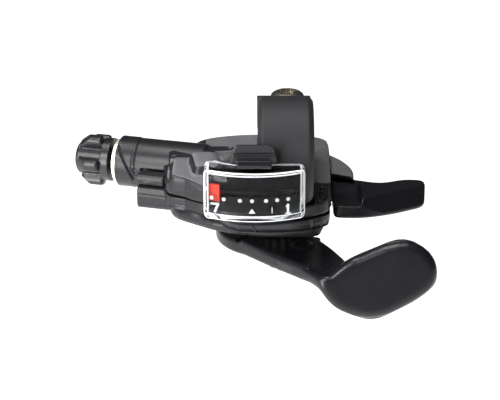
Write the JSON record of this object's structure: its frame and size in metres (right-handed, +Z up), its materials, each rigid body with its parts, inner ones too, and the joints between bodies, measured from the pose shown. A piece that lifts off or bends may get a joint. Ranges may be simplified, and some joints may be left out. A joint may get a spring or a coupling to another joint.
{
  "type": "bicycle thumb shifter",
  "caption": "Right-hand bicycle trigger shifter: bar clamp, round pod, cable barrel adjuster, curved gear display, large push lever and small release lever.",
  "frame": {"origin": "on the handlebar axis, at the middle of the clamp width", "axes": "+X along the handlebar towards the grip, +Y away from the rider, +Z up along the clamp bolt"},
  "size_m": [0.0975, 0.0638, 0.055],
  "materials": {
    "shell_plastic": "fine textured charcoal black nylon",
    "lever_black": "smooth satin black nylon",
    "gloss_black": "semi-gloss black nylon",
    "clamp_black": "black anodised and blasted alloy",
    "nickel_steel": "nickel plated steel",
    "nickel_ring": "warm nickel plated steel",
    "spring_wire": "drawn spring steel",
    "clear_lens": "clear polycarbonate",
    "dial_black": "black dial with white dots and numerals",
    "pointer_red": "red-orange acetal",
    "grey_nylon": "grey glass-filled nylon"
  },
  "bodies": {
    "root": {"clamp_band": "clamp_black", "clamp_bolt": "nickel_steel", "clamp_nut": "nickel_steel", "upper_cover": "shell_plastic", "lower_housing": "shell_plastic", "housing_screw_1": "nickel_steel", "housing_screw_2": "nickel_steel", "housing_screw_3": "nickel_steel", "cable_hatch": "shell_plastic", "adjuster_socket": "shell_plastic", "adjuster_ring": "nickel_ring", "gauge_housing": "shell_plastic", "gauge_dial": "dial_black", "gauge_lens": "clear_lens", "lens_latch": "gloss_black", "main_axle": "nickel_steel", "axle_washer": "nickel_steel", "axle_nut": "nickel_steel", "spool_spring": "spring_wire", "push_lever_spring": "spring_wire", "release_lever_pin": "nickel_steel", "release_lever_spring": "spring_wire", "holding_pawl_pin": "nickel_steel"},
    "barrel_adjuster": {"barrel_adjuster": "gloss_black"},
    "cable_spool": {"cable_spool": "grey_nylon"},
    "gauge_pointer": {"gauge_pointer": "pointer_red"},
    "push_lever": {"push_lever": "lever_black", "drive_pawl_pin": "nickel_steel", "lever_stop_pin": "nickel_ring"},
    "drive_pawl": {"drive_pawl": "nickel_steel"},
    "release_lever": {"release_lever": "lever_black"},
    "holding_pawl": {"holding_pawl": "nickel_steel"}
  },
  "joints": [
    {"name": "push_lever_pivot", "type": "hinge", "parent": "root", "child": "push_lever", "pos_m": [-0.0024, 0.02, -0.031], "axis": [0, 0, 1], "range_deg": [0, 42], "stiffness_Nm_per_rad": 0.05, "springref_deg": -17.19},
    {"name": "drive_pawl_pivot", "type": "hinge", "parent": "push_lever", "child": "drive_pawl", "pos_m": [-0.0093, 0.03195, -0.0275], "axis": [0, 0, 1], "range_deg": [-10, 0], "stiffness_Nm_per_rad": 0.002, "springref_deg": 11.46},
    {"name": "release_lever_pivot", "type": "hinge", "parent": "root", "child": "release_lever", "pos_m": [0.012, 0.029, -0.0186], "axis": [0, 0, 1], "range_deg": [0, 12], "stiffness_Nm_per_rad": 0.04, "springref_deg": -17.19},
    {"name": "holding_pawl_pivot", "type": "hinge", "parent": "root", "child": "holding_pawl", "pos_m": [-0.0165, 0.01, -0.022], "axis": [0, 0, 1], "range_deg": [-12, 0]},
    {"name": "cable_spool_spin", "type": "hinge", "parent": "root", "child": "cable_spool", "pos_m": [-0.0024, 0.02, -0.022], "axis": [0, 0, 1], "range_deg": [0, 108]},
    {"name": "gauge_pointer_sweep", "type": "hinge", "parent": "root", "child": "gauge_pointer", "pos_m": [-0.008, 0.0035, -0.0052], "axis": [0, 0, 1], "range_deg": [0, 50]},
    {"name": "barrel_adjuster_turn", "type": "hinge", "parent": "root", "child": "barrel_adjuster", "pos_m": [-0.046, 0.03202, -0.015], "axis": [-0.9634, 0.2682, 0], "range_deg": [-720, 720]}
  ],
  "couplings": [
    {"joint": "holding_pawl_pivot", "follows": "release_lever_pivot", "ratio": -1},
    {"joint": "gauge_pointer_sweep", "follows": "cable_spool_spin", "ratio": 0.46296}
  ]
}
